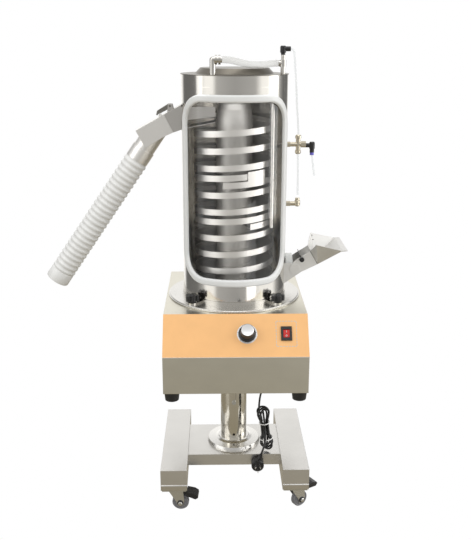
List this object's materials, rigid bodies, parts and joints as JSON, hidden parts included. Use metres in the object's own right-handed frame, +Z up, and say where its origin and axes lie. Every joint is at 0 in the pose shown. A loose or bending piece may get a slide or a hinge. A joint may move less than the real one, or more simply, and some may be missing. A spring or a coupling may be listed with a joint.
{
  "type": "tablet screening machine",
  "caption": "Spiral vibrating tower in a windowed round housing on a cabinet with a lifting column and casters, with feed hopper, outlet chute and hose, and air line.",
  "frame": {"origin": "on the floor, below the common axis of column and tower", "axes": "+Z up along the tower, +X towards the feed hopper, the control panel faces -Y"},
  "size_m": [0.879, 0.5516, 1.3463],
  "materials": {
    "stainless_satin": "satin",
    "zinc_steel": "bright zinc",
    "wheel_rubber": "smooth tread",
    "black_plastic": "matte",
    "orange_panel": "satin paint",
    "red_plastic": "gloss",
    "clear_pane": "clear",
    "frosted_plastic": "frosted",
    "frame_rubber": "satin",
    "nickel_brass": "nickel plated",
    "machined_iron": "machined",
    "magnet_core": "varnished",
    "mount_rubber": "matte",
    "board_plastic": "solder mask",
    "hose_plastic": "ribbed",
    "clear_tube": "clear",
    "cord_black": "satin"
  },
  "bodies": {
    "base": {"leg_left": "stainless_satin", "leg_right": "stainless_satin", "cross_beam": "stainless_satin", "base_cover": "stainless_satin", "column_sleeve": "stainless_satin", "clamp_screw": "stainless_satin", "caster_plates": "zinc_steel"},
    "lift": {"inner_post": "stainless_satin", "flange_disc": "stainless_satin", "housing": "stainless_satin", "lid": "stainless_satin", "cabinet": "stainless_satin", "bottom_plate": "stainless_satin", "outlet_stub": "stainless_satin", "outlet_chute": "stainless_satin", "inlet_hopper": "stainless_satin", "blow_pipe": "stainless_satin", "dust_port": "stainless_satin", "top_pipes": "stainless_satin", "cabinet_feet": "black_plastic", "switch_bezel": "black_plastic", "push_elbows": "black_plastic", "cord_gland": "black_plastic", "control_panel": "orange_panel", "window_pane": "clear_pane", "inlet_hood": "frosted_plastic", "window_gasket": "frame_rubber", "air_fittings": "nickel_brass", "counterweight": "machined_iron", "magnet": "magnet_core", "rubber_mounts": "mount_rubber", "control_board": "board_plastic", "outlet_hose": "hose_plastic", "jumper_hose": "hose_plastic", "air_tubes": "clear_tube", "mains_cord": "cord_black", "cord_hank": "cord_black", "mains_plug": "cord_black"},
    "drive": {"drive_plate": "machined_iron", "leaf_springs": "zinc_steel"},
    "spiral": {"drum": "stainless_satin", "track_lower": "stainless_satin", "track_middle": "stainless_satin", "track_upper": "stainless_satin"},
    "knob": {"speed_knob": "black_plastic"},
    "rocker": {"power_rocker": "red_plastic"},
    "star_left": {"star_knob_left": "black_plastic"},
    "star_right": {"star_knob_right": "black_plastic"},
    "latch": {"outlet_latch": "stainless_satin"},
    "gate": {"feed_gate": "black_plastic"},
    "pedal_left": {"brake_pedal_left": "black_plastic"},
    "pedal_right": {"brake_pedal_right": "black_plastic"},
    "fork_fl": {"caster_fork_fl": "zinc_steel"},
    "wheel_fl": {"caster_wheel_fl": "wheel_rubber"},
    "fork_fr": {"caster_fork_fr": "zinc_steel"},
    "wheel_fr": {"caster_wheel_fr": "wheel_rubber"},
    "fork_rl": {"caster_fork_rl": "zinc_steel"},
    "wheel_rl": {"caster_wheel_rl": "wheel_rubber"},
    "fork_rr": {"caster_fork_rr": "zinc_steel"},
    "wheel_rr": {"caster_wheel_rr": "wheel_rubber"}
  },
  "joints": [
    {"name": "column_height", "type": "slide", "parent": "base", "child": "lift", "axis": [0, 0, 1], "range_m": [0, 0.15]},
    {"name": "swivel_fl", "type": "hinge", "parent": "base", "child": "fork_fl", "pos_m": [-0.1805, -0.165, 0.074], "axis": [0, 0, 1], "continuous": true},
    {"name": "roll_fl", "type": "hinge", "parent": "fork_fl", "child": "wheel_fl", "pos_m": [-0.16254, -0.16626, 0.025], "axis": [0.0698, 0.9976, 0], "continuous": true},
    {"name": "brake_left", "type": "hinge", "parent": "fork_fl", "child": "pedal_left", "pos_m": [-0.16055, -0.16639, 0.059], "axis": [0.0698, 0.9976, 0], "range_deg": [-20, 0]},
    {"name": "swivel_fr", "type": "hinge", "parent": "base", "child": "fork_fr", "pos_m": [0.1805, -0.165, 0.074], "axis": [0, 0, 1], "continuous": true},
    {"name": "roll_fr", "type": "hinge", "parent": "fork_fr", "child": "wheel_fr", "pos_m": [0.19576, -0.15546, 0.025], "axis": [-0.5299, 0.848, 0], "continuous": true},
    {"name": "brake_right", "type": "hinge", "parent": "fork_fr", "child": "pedal_right", "pos_m": [0.19746, -0.1544, 0.059], "axis": [-0.5299, 0.848, 0], "range_deg": [0, 20]},
    {"name": "swivel_rl", "type": "hinge", "parent": "base", "child": "fork_rl", "pos_m": [-0.1805, 0.165, 0.074], "axis": [0, 0, 1], "continuous": true},
    {"name": "roll_rl", "type": "hinge", "parent": "fork_rl", "child": "wheel_rl", "pos_m": [-0.19609, 0.174, 0.025], "axis": [-0.5, -0.866, 0], "continuous": true},
    {"name": "swivel_rr", "type": "hinge", "parent": "base", "child": "fork_rr", "pos_m": [0.1805, 0.165, 0.074], "axis": [0, 0, 1], "continuous": true},
    {"name": "roll_rr", "type": "hinge", "parent": "fork_rr", "child": "wheel_rr", "pos_m": [0.18516, 0.18239, 0.025], "axis": [-0.9659, 0.2588, 0], "continuous": true},
    {"name": "speed_turn", "type": "hinge", "parent": "lift", "child": "knob", "pos_m": [0.031, -0.23397, 0.58669], "axis": [0, -0.7832, 0.6217], "range_deg": [-135, 135]},
    {"name": "power_switch", "type": "hinge", "parent": "lift", "child": "rocker", "pos_m": [0.139, -0.23475, 0.58732], "axis": [1, 0, 0], "range_deg": [-20, 0]},
    {"name": "star_turn_left", "type": "hinge", "parent": "lift", "child": "star_left", "pos_m": [-0.12157, -0.12588, 0.65], "axis": [0, 0, 1], "continuous": true},
    {"name": "star_turn_right", "type": "hinge", "parent": "lift", "child": "star_right", "pos_m": [0.12157, -0.12588, 0.65], "axis": [0, 0, 1], "continuous": true},
    {"name": "latch_turn", "type": "hinge", "parent": "lift", "child": "latch", "pos_m": [-0.181, 0, 1.18274], "axis": [0, 1, 0], "range_deg": [0, 100]},
    {"name": "gate_slide", "type": "slide", "parent": "lift", "child": "gate", "axis": [-0.4397, 0, 0.8981], "range_m": [0, 0.03]},
    {"name": "vibration_lift", "type": "slide", "parent": "lift", "child": "drive", "axis": [0, 0, 1], "range_m": [-0.001, 0.001], "stiffness_N_per_m": 400000, "springref_m": 0.00042, "deforming": ["leaf_springs"]},
    {"name": "vibration_twist", "type": "hinge", "parent": "drive", "child": "spiral", "pos_m": [0, 0, 0.6], "axis": [0, 0, 1], "range_deg": [-1.3, 1.3]}
  ],
  "couplings": [
    {"joint": "vibration_twist", "follows": "vibration_lift", "rad_per_m": 21.1}
  ]
}
